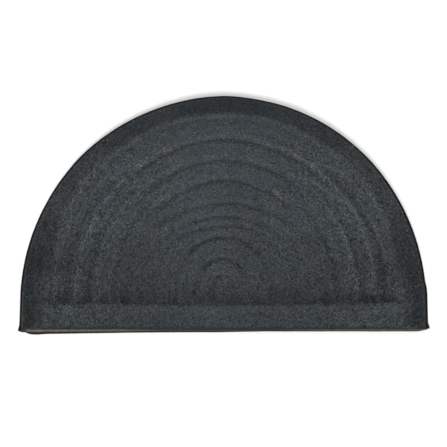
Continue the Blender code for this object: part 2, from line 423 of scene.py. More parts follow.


# patches painted lighter or darker: across, from the front, how wide, how much lighter
lighterDarkerPatches = (
    (0.200, 0.305, 0.045, 0.15),
    (0.285, 0.225, 0.042, 0.12),
    (0.205, 0.185, 0.035, 0.07),
    (0.110, 0.120, 0.035, 0.07),
    (0.135, 0.265, 0.025, 0.07),
    (-0.225, 0.205, 0.042, 0.16),
    (-0.210, 0.300, 0.035, 0.06),
    (-0.335, 0.230, 0.030, 0.08),
    (-0.175, 0.180, 0.030, 0.11),
    (-0.045, 0.300, 0.055, 0.11),
    (-0.055, 0.230, 0.050, 0.09),
    (-0.050, 0.020, 0.048, 0.12),
    (-0.300, 0.040, 0.040, 0.09),
    (0.250, 0.032, 0.040, 0.09),
    (-0.358, 0.084, 0.024, 0.18),
    (0.352, 0.088, 0.029, 0.20),
    (-0.345, 0.130, 0.035, -0.14),
    (-0.255, 0.100, 0.050, -0.08),
    (-0.170, 0.095, 0.035, -0.07),
    (0.040, 0.155, 0.045, -0.12),
    (0.030, 0.340, 0.030, -0.04),
    (0.150, 0.080, 0.045, -0.10),
    (0.295, 0.110, 0.025, -0.12),
    (0.060, 0.410, 0.030, -0.12),
    (-0.125, 0.418, 0.030, 0.17),
    (0.110, 0.410, 0.025, 0.10),
    (0.205, 0.367, 0.045, -0.13),
    (-0.275, 0.275, 0.030, -0.09),
    (-0.210, 0.355, 0.040, -0.11),
    (0.300, 0.035, 0.030, -0.09),
    (-0.055, 0.092, 0.040, 0.07),
    (-0.060, 0.190, 0.025, 0.04),
    (0.224, 0.115, 0.028, -0.06),
    (-0.212, 0.145, 0.026, -0.05),
    (0.166, 0.223, 0.026, -0.04),
    (-0.128, 0.245, 0.022, -0.05),
    (-0.301, 0.105, 0.018, -0.05),
    (0.036, 0.105, 0.007, -0.24),
    (-0.006, 0.094, 0.006, -0.22),
    (-0.029, 0.148, 0.008, 0.09),
    (-0.017, 0.113, 0.009, 0.10),
    (-0.067, 0.116, 0.013, 0.06),
    (-0.293, 0.113, 0.012, -0.16),
    (0.297, 0.111, 0.011, -0.14),
    (-0.141, 0.164, 0.009, -0.11),
    (0.145, 0.167, 0.009, -0.13),
    (-0.186, 0.167, 0.008, -0.09),
    (0.190, 0.167, 0.008, -0.06),
    (-0.111, 0.189, 0.008, 0.10),
    (0.118, 0.189, 0.008, 0.09),
)


middleArches = 0.75  # how far out they lie, where an angle is turned into a length


# streaks along the arches, about -1 to 1
def streakNoise(x, y, width, length, seed):
    across = archReach(x, y) * matShape["halfWidth"]
    upLeg = np.minimum(y, relief["spring"])
    along = np.sign(x) * (aroundArch(x, y) * matShape["halfWidth"] * middleArches + upLeg)
    return softNoise(across / width, along / length, 1.0, seed)


# how light the frame looks, darker outwards beside the legs
def frameLight(around, edge):
    darker = shades["legFrame"] * (1 - smooth(around / shades["legFrameTop"]))
    darker *= fadeIn(edge, *shades["legFrameOut"])
    return np.interp(around, shades["frameStops"], shades["frame"]) * (1 - darker)


# how light the pile is painted at a place, 1 on a ridge at the crown: the dye's own lighter and darker
# parts, patches painted lighter or darker, and painted shade and highlights of the carving, the frame's edge
# and the rim
def dyeAndPaintedShade(x, y, rng):
    s = shades
    ragged = rng.normal(0, s["mottle"], (2, *np.shape(x)))
    x, y = x + ragged[0], y + ragged[1]
    around, edge, depth = aroundArch(x, y), frameOffset(x, y), fromFront(y)
    shade = np.interp(around, aroundStops, s["field"])
    # painted shade in the grooves
    for section, _, dark in grooveSections(x, y):
        shade *= 1 - dark * section
    # painted highlight on the ridges
    shade *= 1 + paintedRidgeHighlight(x, y)
    # painted shade along the frame at the crown
    gutterShade = s["gutterShade"] * fadeIn(around, *s["gutterFrom"])
    shade *= 1 - gutterShade * nearLine(edge + s["gutterIn"], s["gutterWidth"])
    # painted highlight along the frame's inner edge
    lip = np.interp(around, aroundStops, s["lip"])
    shade *= 1 + lip * nearLine(edge + s["lipIn"], s["lipWidth"])
    comb = s["comb"] * (1 + s["combBeside"] * besideLegs(x, y))
    shade *= 1 + comb * streakNoise(x, y, *s["combStreaks"])
    # painted shade over the row of the arches' feet
    rowBack = relief["bandDepth"] + s["footRowBack"] + unevenBy(x, y, s["footRowRagged"])
    footRowShade = smooth((rowBack - depth) / s["footRowFade"]) * (1 - fadeIn(np.abs(x), *s["footRowEnd"]))
    shade *= 1 - (1 - s["footRowShade"] * (1 + unevenBy(x, y, s["footRowBlotch"]))) * footRowShade
    # painted shade in the pits at the arches' feet
    shade *= 1 - (1 - s["pit"]) * pitShare(x, y)
    band = bandShare(x, y)
    # painted highlight where the band begins
    bandEdgeHighlight = s["bandEdgeHighlight"] * nearLine(depth - s["bandEdgeIn"], s["bandEdgeWidth"])
    shade = shade * (1 - band) + s["band"] * (1 + bandEdgeHighlight) * band
    shade *= 1 - (1 - s["frontLine"]) * smooth(1 - depth / s["frontLineDepth"])
    raised = frameShare(x, y)
    shade = shade * (1 - raised) + frameLight(around, edge) * raised
    leftLeg = (x < 0) * (1 - smooth(around / s["leftRimTop"]))
    rimLight = np.interp(around, aroundStops, s["rimLight"]) + s["leftRimLight"] * leftLeg
    shade *= 1 + rimLight * smooth((s["rimReach"] - insideArch(x, y)) / s["rimFade"])
    # patches painted lighter or darker
    for across, up, wide, lighter in lighterDarkerPatches:
        shade *= 1 + lighter * nearLine(np.hypot(x - across, depth - up), wide)
    cloudy = sum(unevenBy(x, y, layer) for layer in s["clouds"])
    return np.clip(shade, *s["range"]) * (1 + cloudy * (1 + s["cloudBeside"] * besideLegs(x, y)))


# links a node's output to a socket, or gives the socket a value
def feed(tree, socket, value):
    if isinstance(value, bpy.types.NodeSocket):
        tree.links.new(value, socket)
    else:
        socket.default_value = value


def addNode(tree, kind, **settings):
    node = tree.nodes.new(kind)
    for name, value in settings.items():
        setattr(node, name, value)
    return node


def setInputs(node, values):
    for name, value in values.items():
        node.inputs[name].default_value = value


def newGroup(name, inputs, outputs):
    group = bpy.data.node_groups.new(name, "ShaderNodeTree")
    for socketName, kind, value in inputs:
        socket = group.interface.new_socket(socketName, in_out="INPUT", socket_type=kind)
        socket.default_value = value
    for socketName, kind in outputs:
        group.interface.new_socket(socketName, in_out="OUTPUT", socket_type=kind)
    given, result = group.nodes.new("NodeGroupInput"), group.nodes.new("NodeGroupOutput")
    return group, [given.outputs[socketName] for socketName, _, _ in inputs], result


# a stretch of numbers, as a Map Range node: the source, from low and high, to low and high
def remap(tree, *values):
    node = addNode(tree, "ShaderNodeMapRange")
    for socket, value in zip(node.inputs, values):
        feed(tree, socket, value)
    return node.outputs[0]


def noiseOf(tree, place, scale, detail, stretch=None):
    if stretch:
        mapping = addNode(tree, "ShaderNodeMapping")
        mapping.inputs["Scale"].default_value = stretch
        feed(tree, mapping.inputs["Vector"], place)
        place = mapping.outputs[0]
    node = addNode(tree, "ShaderNodeTexNoise")
    for name, value in (("Scale", scale), ("Detail", detail), ("Vector", place)):
        feed(tree, node.inputs[name], value)
    return node.outputs["Fac"]


def mixColours(tree, blend, share, first, second):
    node = addNode(tree, "ShaderNodeMix", data_type="RGBA", blend_type=blend)
    for number, value in ((0, share), (6, first), (7, second)):  # its factor and its two colours
        feed(tree, node.inputs[number], value)
    return node.outputs[2]


def mathOf(tree, operation, first, second):
    node = addNode(tree, "ShaderNodeMath", operation=operation)
    for socket, value in zip(node.inputs, (first, second)):
        feed(tree, socket, value)
    return node.outputs[0]


# noises as scale, detail and stretch along a strand; the rest as what they are remapped from and to
dyeLook = {
    "broad": (9.0, 3.0),
    "broadRange": (0.3, 0.7),
    "hue": (34.0, 2.0),
    "warm": (0.54, 0.74, 0.0, 0.3),
    "warmTint": (1.06, 1.01, 0.92, 1),
    "cool": (0.45, 0.28, 0.0, 0.25),
    "coolTint": (1.01, 0.98, 1.06, 1),
    "tone": (0.3, 1.7, 0.0, 1.0),
    "deepTint": (0.955, 1.0, 1.08, 1),  # of the fibres that took most dye
    "paleTint": (1.03, 1.005, 0.94, 1),  # and of those that took least
    "streak": (60.0, 3.0, (9.0, 1.0, 2.0)),
    "undyedLight": (0.3, 0.7, 0.72, 1.25),
    "roughness": (0.3, 0.7, 0.86, 0.98),
}


# dyed coir: cloudy charcoal, with tan where the dye didn't reach
def makeDyeGroup():
    s = dyeLook
    group, (dyed, undyed, tanShare, shade, tone, clouding), result = newGroup(
        "coirDye",
        [
            ("Dyed", "NodeSocketColor", (0.06, 0.065, 0.07, 1)),
            ("Undyed", "NodeSocketColor", (0.25, 0.2, 0.12, 1)),
            ("Undyed Share", "NodeSocketFloat", 0.0),
            ("Shade", "NodeSocketFloat", 1.0),
            ("Tone", "NodeSocketFloat", 1.0),
            ("Clouding", "NodeSocketFloat", 0.2),
        ],
        [("Colour", "NodeSocketColor"), ("Roughness", "NodeSocketFloat")],
    )
    place = addNode(group, "ShaderNodeTexCoord").outputs["Object"]
    broad, hue, streak = (noiseOf(group, place, *s[noise]) for noise in ("broad", "hue", "streak"))
    tint = mixColours(group, "MIX", remap(group, tone, *s["tone"]), s["deepTint"], s["paleTint"])
    dyed = mixColours(group, "MULTIPLY", 1.0, dyed, tint)
    dyed = mixColours(group, "MULTIPLY", remap(group, hue, *s["warm"]), dyed, s["warmTint"])
    dyed = mixColours(group, "MULTIPLY", remap(group, hue, *s["cool"]), dyed, s["coolTint"])
    cloudRange = (mathOf(group, operation, 1.0, clouding) for operation in ("SUBTRACT", "ADD"))
    # the Shade input brings the painted shade and highlights, with the dye's own lighter and darker parts
    light = mathOf(group, "MULTIPLY", shade, remap(group, broad, *s["broadRange"], *cloudRange))
    dyed = mixColours(group, "MULTIPLY", 1.0, dyed, mathOf(group, "MULTIPLY", light, tone))
    undyedLight = mathOf(group, "MULTIPLY", remap(group, streak, *s["undyedLight"]), tone)
    undyed = mixColours(group, "MULTIPLY", 1.0, undyed, undyedLight)
    feed(group, result.inputs["Colour"], mixColours(group, "MIX", tanShare, dyed, undyed))
    feed(group, result.inputs["Roughness"], remap(group, streak, *s["roughness"]))
    return group


grainLook = {
    "detail": 3.0,
    "mask": (0.4, 0.65, 0.0, 1.0),
}


# fine relief: strands for coir, a pressed grain for vinyl
def makeGrainGroup():
    group, (scale, stretch), result = newGroup(
        "fineGrain",
        [("Scale", "NodeSocketFloat", 400.0), ("Stretch", "NodeSocketVector", (1, 1, 1))],
        [("Height", "NodeSocketFloat"), ("Mask", "NodeSocketFloat")],
    )
    place = addNode(group, "ShaderNodeVectorMath", operation="MULTIPLY")
    feed(group, place.inputs[0], addNode(group, "ShaderNodeTexCoord").outputs["Object"])
    feed(group, place.inputs[1], stretch)
    noise = noiseOf(group, place.outputs[0], scale, grainLook["detail"])
    cells = addNode(group, "ShaderNodeTexVoronoi", feature="SMOOTH_F1")
    feed(group, cells.inputs["Vector"], place.outputs[0])
    feed(group, cells.inputs["Scale"], scale)
    feed(group, result.inputs["Height"], mathOf(group, "ADD", noise, cells.outputs["Distance"]))
    feed(group, result.inputs["Mask"], remap(group, noise, *grainLook["mask"]))
    return group


def newMaterial(name, values):
    material = bpy.data.materials.new(name)
    material.use_nodes = True
    shader = material.node_tree.nodes["Principled BSDF"]
    setInputs(shader, values)
    return material, material.node_tree, shader


# the fine grain as a bump on a material
def addGrain(tree, shader, grainGroup, values, depth):
    grain = addNode(tree, "ShaderNodeGroup", node_tree=grainGroup)
    setInputs(grain, values)
    lift = addNode(tree, "ShaderNodeBump")
    lift.inputs["Distance"].default_value = depth
    feed(tree, lift.inputs["Height"], grain.outputs["Height"])
    feed(tree, shader.inputs["Normal"], lift.outputs[0])
    return grain


coirSettings = {
    "shader": {"Specular IOR Level": 0.12, "Sheen Weight": 0.05, "Sheen Roughness": 0.6},
    "dye": {"Dyed": (0.1103, 0.1274, 0.1412, 1), "Undyed": (0.170, 0.158, 0.112, 1), "Clouding": 0.06},
    "grain": {"Scale": 260.0, "Stretch": (3.0, 0.8, 1.0)},
    "grainDepth": 0.0006,
}


def makeCoir(name, dyeGroup, grainGroup=None):
    material, tree, shader = newMaterial(name, coirSettings["shader"])
    dye = addNode(tree, "ShaderNodeGroup", node_tree=dyeGroup)
    setInputs(dye, coirSettings["dye"])
    for socketName, attributeName in (("Shade", "shade"), ("Tone", "tone"), ("Undyed Share", "undyed")):
        attribute = addNode(tree, "ShaderNodeAttribute", attribute_name=attributeName)
        feed(tree, dye.inputs[socketName], attribute.outputs["Fac"])
    feed(tree, shader.inputs["Base Color"], dye.outputs["Colour"])
    feed(tree, shader.inputs["Roughness"], dye.outputs["Roughness"])
    if grainGroup:
        addGrain(tree, shader, grainGroup, coirSettings["grain"], coirSettings["grainDepth"])
    return material


vinylSettings = {
    "shader": {"Specular IOR Level": 0.12},
    "colour": (0.006, 0.006, 0.0065, 1),
    "dusty": (0.014, 0.013, 0.012, 1),
    "dustNoise": (35.0, 4.0),
    "dust": (0.5, 0.75, 0.0, 0.6),
    "fibreDust": (0.018, 0.017, 0.014, 1),  # on the cut edge at the front
    "roughness": (0.0, 1.0, 0.48, 0.66),
    "grain": {"Scale": 900.0, "Stretch": (1, 1, 1)},
    "grainDepth": 0.00015,
}


def makeVinyl(grainGroup):
    s = vinylSettings
    material, tree, shader = newMaterial("vinyl", s["shader"])
    grain = addGrain(tree, shader, grainGroup, s["grain"], s["grainDepth"])
    place = addNode(tree, "ShaderNodeTexCoord").outputs["Object"]
    dust = remap(tree, noiseOf(tree, place, *s["dustNoise"]), *s["dust"])
    colour = mixColours(tree, "MIX", dust, s["colour"], s["dusty"])
    dusted = addNode(tree, "ShaderNodeAttribute", attribute_name="dusted").outputs["Fac"]
    feed(tree, shader.inputs["Base Color"], mixColours(tree, "MIX", dusted, colour, s["fibreDust"]))
    feed(tree, shader.inputs["Roughness"], remap(tree, grain.outputs["Mask"], *s["roughness"]))
    return material


def addToScene(name, data):
    thing = bpy.data.objects.new(name, data)
    bpy.context.scene.collection.objects.link(thing)
    return thing


def meshPiece(name, points, faces, material):
    mesh = bpy.data.meshes.new(name)
    mesh.from_pydata(cutByHand(points), [], faces)
    mesh.shade_smooth()
    mesh.materials.append(material)
    return addToScene(name, mesh)


def addValues(mesh, values):
    for name, numbers in values.items():
        layer = mesh.attributes.new(name, "FLOAT", "POINT")
        layer.data.foreach_set("value", np.ascontiguousarray(numbers, np.float32))


# which way is outwards at each point of a loop, longer at a corner, for a mitre
def outwardDirections(loop):
    ahead = np.roll(loop, -1, axis=0) - loop
    ahead /= np.linalg.norm(ahead, axis=1)[:, None]
    edgeOut = np.stack([ahead[:, 1], -ahead[:, 0]], 1)  # the loop runs anticlockwise
    before = np.roll(edgeOut, 1, axis=0)
    return (edgeOut + before) / (1 + (edgeOut * before).sum(1))[:, None]


# quads between two rings of points
def ringFaces(ring, below):
    return np.stack([ring, below, np.roll(below, -1), np.roll(ring, -1)], 1).tolist()


def quarterTurns(steps):
    return [math.pi / 2 * step / steps for step in range(steps + 1)]


# half width and rise of the outline moved in
def outlineInset(inset):
    return matShape["halfWidth"] - inset, matShape["back"] - inset - matShape["spring"]


bedSettings = {
    "seed": 14,
    "columns": 300,
    "archRows": 100,
    "legRows": 22,
    "fibreRise": 0.0022,  # how far fibre tips stand over the bed
    "edgeInset": 0.0064,  # from the backing's edge to the top of the wall
    "footInset": 0.0046,
    "rimRadius": 0.0030,
    "rimSteps": 4,
    "wallSteps": 4,
    "wall": (0.0003, 0.006, 70),  # how uneven it is
    "frontWithin": 0.0001,  # of the front, for a point of the wall that faces it
    "shade": 0.40,  # the bed lies in the fibres' shade
    "tone": (1.0, 0.30),  # mean and spread
    "toneRange": (0.3, 2.0),
}


# even quads over the half-round: an elliptical map of a rectangle above the spring line, straight legs below
def bedGrid():
    s = bedSettings
    halfWidth, rise = outlineInset(s["edgeInset"] + s["rimRadius"])
    across = np.linspace(-1, 1, s["columns"] + 1)
    legUp = np.linspace(matShape["front"] + s["rimRadius"], matShape["spring"], s["legRows"] + 1)[:-1]
    legX, legY = np.meshgrid(halfWidth * across, legUp)
    wide, tall = np.meshgrid(across, np.linspace(0, 1, s["archRows"] + 1))
    archX = halfWidth * wide * np.sqrt(1 - tall ** 2 / 2)
    archY = matShape["spring"] + rise * tall * np.sqrt(1 - wide ** 2 / 2)
    return np.vstack([legX, archX]), np.vstack([legY, archY])


# the pile's ground with the carving in it, its rounded rim and the wall down to the backing
def buildBed(material):
    s = bedSettings
    gridX, gridY = bedGrid()
    height = pileTop(gridX, gridY) - s["fibreRise"]
    points = [np.stack([gridX.ravel(), gridY.ravel(), height.ravel()], 1)]
    total = gridX.size
    index = np.arange(total).reshape(gridX.shape)
    corners = (index[:-1, :-1], index[:-1, 1:], index[1:, 1:], index[1:, :-1])
    faces = np.stack(corners, -1).reshape(-1, 4).tolist()
    ring = np.concatenate([index[0, :-1], index[:-1, -1], index[-1, :0:-1], index[:0:-1, 0]])
    start = points[0][ring]
    outward = outwardDirections(start[:, :2])
    count = len(ring)
    radius = s["rimRadius"]
    rim = quarterTurns(s["rimSteps"])[1:]
    profile = [(radius * math.sin(turn), radius * (1 - math.cos(turn)), 0) for turn in rim]
    profile += [(radius, radius, step / s["wallSteps"]) for step in range(1, s["wallSteps"] + 1)]
    facing = (start[:, 1] < start[:, 1].min() + tiny) * 1.0
    for number, (out, down, share) in enumerate(profile):
        lean = (s["edgeInset"] - s["footInset"]) * share
        place = start[:, :2] + outward * out
        place[:, 0] += outward[:, 0] * lean
        place[:, 1] += np.maximum(outward[:, 1], 0) * lean
        place[:, 1] -= facing * matShape["pileSpreadShare"] * share * frontSpread(place[:, 0])
        place += outward * unevenBy(place[:, 0] * 3 + number, place[:, 1] * 3, s["wall"])[:, None]
        top = start[:, 2] - down
        points.append(np.column_stack([place, top + (pileLow.z - top) * share]))
        below = total + np.arange(count)
        faces += ringFaces(ring, below)
        ring = below
        total += count
    faces.append(ring[::-1].tolist())
    points = np.vstack(points)
    bed = meshPiece("coirBed", points, faces, material)
    rng = np.random.default_rng(s["seed"])
    undyed = np.zeros(total)
    wall = slice(gridX.size + count * (s["rimSteps"] - 1), None)
    undyed[wall] = undyedShare(points[wall], fromFront(points[wall, 1]) < s["frontWithin"])
    shade = dyeAndPaintedShade(points[:, 0], points[:, 1], rng) * s["shade"]
    tone = np.clip(rng.normal(*s["tone"], total), *s["toneRange"])
    addValues(bed.data, {"undyed": undyed, "shade": shade, "tone": tone})
    return bed


dyeLine = {
    "depthAt": (-0.33, -0.19),
    "depth": (0.0034, 0.0044),  # how far down the dye reached, at the left end and further on
    "fade": 0.0020,
    "stops": (-0.3625, -0.3590, -0.19, -0.11, 0.10, 0.18, 0.37),  # along the front
    "tan": (0.05, 1.0, 0.80, 0.18, 0.02, 0.50, 0.55),  # how undyed the cut edge is there
    "sides": 0.25,
    "legs": (0.20, -0.10),  # how much more undyed the left and right legs are
    "legTop": 0.085,
    "legFade": 0.030,
    "cornerFade": 0.008,
    "patches": (0.25, 0.012, 77),
}


# 1 beside the legs, 0 at the corners and round the arch
def legShare(y):
    leg = smooth((dyeLine["legTop"] - fromFront(y)) / dyeLine["legFade"])
    return leg * smooth(fromFront(y) / dyeLine["cornerFade"])


# how undyed a strand of the cut side is at a height
def undyedShare(places, facingFront):
    s = dyeLine
    x, y, z = places.T
    below = smooth((relief["top"] - np.interp(x, s["depthAt"], s["depth"]) - z) / s["fade"] + 0.5)
    sides = s["sides"] + np.where(x < 0, *s["legs"]) * legShare(y)
    patchy = 1 + unevenBy(x * 2, y, s["patches"])
    return np.clip(below * np.where(facingFront, np.interp(x, s["stops"], s["tan"]), sides) * patchy, 0, 1)


# closed three-sided fibres from centre lines: lines is (fibres, points along, 3)
def fibrePiece(name, lines, radii, values, material):
    fibres, steps, _ = lines.shape
    ringCount = steps - 1
    heading = lines[:, 1:] - lines[:, :-1]
    heading /= np.linalg.norm(heading, axis=2)[:, :, None]
    side = np.cross(heading, np.array([0.36, 0.48, 0.80]) + 0 * heading)  # any way that no fibre runs
    side /= np.linalg.norm(side, axis=2)[:, :, None] + 1e-9
    other = np.cross(heading, side)
    perFibre = ringCount * 3 + 1
    points = np.empty((fibres, perFibre, 3))
    for corner in range(3):
        turn = 2 * math.pi * corner / 3
        spoke = math.cos(turn) * side + math.sin(turn) * other
        points[:, corner:ringCount * 3:3] = lines[:, :-1] + spoke * radii[:, :, None]
    points[:, -1] = lines[:, -1]
    pattern = [(0, 2, 1)]
    for ring in range(ringCount - 1):
        for corner in range(3):
            near, after = 3 * ring + corner, 3 * ring + (corner + 1) % 3
            pattern += [(near, after, after + 3), (near, after + 3, near + 3)]
    last = 3 * (ringCount - 1)
    pattern += [(last + corner, last + (corner + 1) % 3, perFibre - 1) for corner in range(3)]
    corners = (np.arange(fibres)[:, None, None] * perFibre + np.array(pattern)).reshape(-1, 3)
    mesh = bpy.data.meshes.new(name)
    mesh.vertices.add(fibres * perFibre)
    mesh.vertices.foreach_set("co", cutByHand(points.reshape(-1, 3)).astype(np.float32).ravel())
    mesh.loops.add(corners.size)
    mesh.loops.foreach_set("vertex_index", corners.astype(np.int32).ravel())
    mesh.polygons.add(len(corners))
    mesh.polygons.foreach_set("loop_start", np.arange(0, corners.size, 3, dtype=np.int32))
    mesh.update(calc_edges=True)
    mesh.shade_smooth()
    mesh.materials.append(material)
    addValues(mesh, {key: np.repeat(numbers, perFibre) for key, numbers in values.items()})
    return addToScene(name, mesh)


# fibres as a few pieces that lie side by side
def fibrePieces(name, pieces, across, lines, radii, values, material):
    made = []
    for number, chosen in enumerate(np.array_split(np.argsort(across, kind="stable"), pieces), 1):
        part = {key: numbers[chosen] for key, numbers in values.items()}
        made.append(fibrePiece(f"{name}{number}", lines[chosen], radii[chosen], part, material))
    print(name, len(lines), "fibres")
    return made


tuftSettings = {
    "seed": 12,
    "rowPitch": 0.0040,  # tufts stand in rows along Y
    "tuftPitch": 0.0033,
    "jitter": (0.00036, 0.0006),  # across and along
    "fibres": 6,
    "spread": 0.0010,
    "length": (0.0024, 0.0042),
    "radius": (0.00034, 0.00056),
    "splay": 0.42,
    "tuftLean": 0.22,
    "fibreLean": 0.15,
    "swirl": (0.18, 0.007, 71),  # neighbouring tufts lean alike
    "tuftToneSpread": 0.24,
    "toneSpread": 0.24,
    "clump": (0.80, 0.0017, 68),  # neighbouring fibres look alike
    "coarse": 0.74,  # how strongly the tones vary
    "crownFiner": 0.46,  # how much less at the crown
    "coarser": 1.0,  # and how much more beside the legs
    "tuftsCoarser": 2.5,  # and from tuft to tuft
    "lively": 1.5,  # how much more low in the field
    "livelyTop": 0.185,  # from the front
    "livelyFade": 0.040,
    "quiet": 0.55,  # and how much less in a stripe left of the middle
    "quietAt": -0.052,
    "quietWidth": 0.030,
    "gaps": 0.05,  # share of the tufts that are missing beside the legs
    "lower": 0.35,  # how much more uneven it all is low beside the legs
    "lowerTurn": (0.2, 0.3),  # up to this angle, and the fade
    "lighterBeside": 0.26,  # the tones there, which makes up for the shade between them
    "toneRange": (0.05, 2.5),
    "streak": 0.24,  # tufts side by side along an arch look alike
    "streaks": (0.0027, 0.0085, 67),  # width, length and seed
    "columnTone": 0.08,
    "tuftRise": 0.0006,
    "besideRise": 1.6,  # how much more uneven the tufts stand beside the legs
    "besideSunk": 0.0003,
    "rooted": 0.0008,  # how deep a fibre starts under the bed's surface
    "edgeKeep": 0.0076,  # from the sides and the arch to the outermost tufts
    "frontKeep": 0.0030,
    "strayTan": 0.004,  # share of fibres that took little dye
    "strayUndyed": (0.3, 0.8),
    "frontTan": 0.34,  # how much of the tan shows between the tufts along the front
    "frontTanDepth": 0.009,
    "wornTufts": 0.95,  # share of the tufts that are worn in the middle of a worn place
    "wornTone": 1.65,
    "wornUndyed": (0.10, 0.70),
    "pieces": 4,
}

# worn places where the cutter took the dyed tips off: reach from the middle as a share
# of the outline's, angle round the arches, half length as an angle, strength
wornPlaces = (
    (0.773, 1.08, 0.19, 1.0),
    (0.870, 0.59, 0.10, 0.8),
    (0.682, 1.22, 0.06, 0.5),
    (0.550, 1.04, 0.10, 0.6),
    (0.441, 1.08, 0.08, 0.4),
    (0.412, 0.79, 0.07, 0.5),
    (0.447, 0.64, 0.05, 0.4),
)
wornWidth = 0.019
wornPatches = (0.5, 0.010, 63)
wornEvenly = 0.85


# how much of the pile took no dye at a place, 0 to about 1
def wornShare(x, y):
    reach, around = archReach(x, y), aroundArch(x, y)
    worn = np.zeros_like(x)
    for place, angle, halfLength, strength in wornPlaces:
        worn = worn + strength * nearLine(reach - place, wornWidth) * nearLine(around - angle, halfLength)
    return np.clip(worn * (wornEvenly + unevenBy(np.abs(x), y, wornPatches)), 0, 1)


# how strongly the fibres' tones vary, 1 high in the field
def liveliness(x, y):
    s = tuftSettings
    low = 1 - fadeIn(fromFront(y), s["livelyTop"], s["livelyFade"])
    quiet = s["quiet"] * nearLine(x - s["quietAt"], s["quietWidth"])
    return (1 + s["lively"] * low * (1 - bandShare(x, y))) * (1 - quiet)


def buildTufts(material):
    s = tuftSettings
    rng = np.random.default_rng(s["seed"])
    xs = np.arange(-matShape["halfWidth"], matShape["halfWidth"], s["rowPitch"])
    ys = np.arange(matShape["front"], matShape["back"], s["tuftPitch"])
    rowX, rowY = (part.ravel() for part in np.meshgrid(xs, ys, indexing="ij"))
    column = np.repeat(np.arange(len(xs)), len(ys))
    rowY = rowY + (column % 2) * s["tuftPitch"] / 2
    acrossJitter, alongJitter = s["jitter"]
    rowX = rowX + rng.normal(0, acrossJitter, len(column))
    rowY = rowY + rng.normal(0, alongJitter, len(column))
    keep = (insideArch(rowX, rowY) > s["edgeKeep"]) & (fromFront(rowY) > s["frontKeep"])
    lower = 1 + s["lower"] * (1 - fadeIn(aroundArch(rowX, rowY), *s["lowerTurn"]))
    keep &= rng.uniform(0, 1, len(rowX)) > s["gaps"] * lower * besideLegs(rowX, rowY)
    rowX, rowY, column, lower = rowX[keep], rowY[keep], column[keep], lower[keep]
    tufts = len(rowX)
    beside = besideLegs(rowX, rowY)
    even = s["coarse"] * (1 - s["crownFiner"] * atCrown(rowX, rowY))
    coarse = even * liveliness(rowX, rowY) + s["coarser"] * beside * lower
    tuftsCoarse = even + s["tuftsCoarser"] * beside * lower
    uneven = rng.normal(0, s["tuftToneSpread"], tufts) + s["streak"] * streakNoise(rowX, rowY, *s["streaks"])
    tuftTone = 1 + s["lighterBeside"] * beside + tuftsCoarse * uneven
    tuftTone = tuftTone + rng.normal(0, s["columnTone"], len(xs))[column]
    lean = rng.normal(0, s["tuftLean"], (tufts, 2))
    lean += np.stack([unevenBy(rowX, rowY, s["swirl"], axis) for axis in range(2)], 1)
    rise = rng.normal(0, s["tuftRise"], tufts) * (1 + s["besideRise"] * beside) - s["besideSunk"] * beside
    wornTuft = rng.uniform(0, 1, tufts) < s["wornTufts"] * wornShare(rowX, rowY)
    owner = np.repeat(np.arange(tufts), s["fibres"])
    count = len(owner)
    turn, reach = rng.uniform(0, 2 * math.pi, count), np.sqrt(rng.uniform(0, 1, count))
    offset = np.stack([np.cos(turn), np.sin(turn)], 1) * reach[:, None]
    rootX = rowX[owner] + offset[:, 0] * s["spread"]
    rootY = rowY[owner] + offset[:, 1] * s["spread"]
    sideways = offset * s["splay"] + lean[owner] + rng.normal(0, s["fibreLean"], (count, 2))
    direction = np.column_stack([sideways, np.ones(count)])
    direction /= np.linalg.norm(direction, axis=1)[:, None]
    length = rng.uniform(*s["length"], count)
    root = np.column_stack([rootX, rootY, pileTop(rootX, rootY) - bedSettings["fibreRise"] - s["rooted"]])
    tip = root + direction * length[:, None]
    tip[:, 2] += rise[owner]
    radii = rng.uniform(*s["radius"], (count, 1))
    tone = rng.normal(0, s["toneSpread"], count) + unevenBy(rootX, rootY, s["clump"])
    tone = np.clip(tuftTone[owner] + coarse[owner] * tone, *s["toneRange"])
    shade = dyeAndPaintedShade(rootX, rootY, rng)
    stray = np.where(rng.uniform(0, 1, count) < s["strayTan"], rng.uniform(*s["strayUndyed"], count), 0)
    frontTan = s["frontTan"] * np.interp(rootX, dyeLine["stops"], dyeLine["tan"])
    frontTan = frontTan * smooth(1 - fromFront(rootY) / s["frontTanDepth"])
    worn = wornTuft[owner]
    undyed = np.where(worn, rng.uniform(*s["wornUndyed"], count), np.maximum(stray, frontTan))
    tone[worn] *= s["wornTone"]
    values = {"tone": tone, "shade": shade, "undyed": undyed}
    return fibrePieces("coirTufts", s["pieces"], rootX, np.stack([root, tip], 1), radii, values, material)


curlSettings = {
    "seed": 17,
    "count": 18000,
    "fewerBeside": 0.35,  # beside the legs fewer lie loose
    "length": (0.0035, 0.0080),
    "bend": 0.28,  # how far the middle lies off the straight line, of the length
    "radius": (0.00024, 0.00036),
    "sink": (0.00028, 0.0014),  # how far its ends dip into the pile
    "over": (-0.0002, 0.0008),  # its middle, against the tips of the tufts
    "turnSpread": 0.55,  # how far they stray from the arches' direction
    "tone": 1.10,
    "toneSpread": 0.32,
    "toneRange": (0.3, 1.8),
    "tan": 0.006,  # share of them that is tan, and how much larger it is in a worn place
    "wornTan": 0.6,
    "undyed": (0.3, 0.9),
    "edgeKeep": 0.0085,
    "frontKeep": 0.0050,
    "pieces": 2,
}


# which way an arch runs at a place
def archDirection(x, y):
    up = np.maximum(y - relief["spring"], 0)
    return np.arctan2(x / matShape["halfWidth"] ** 2, -up / matShape["rise"] ** 2)


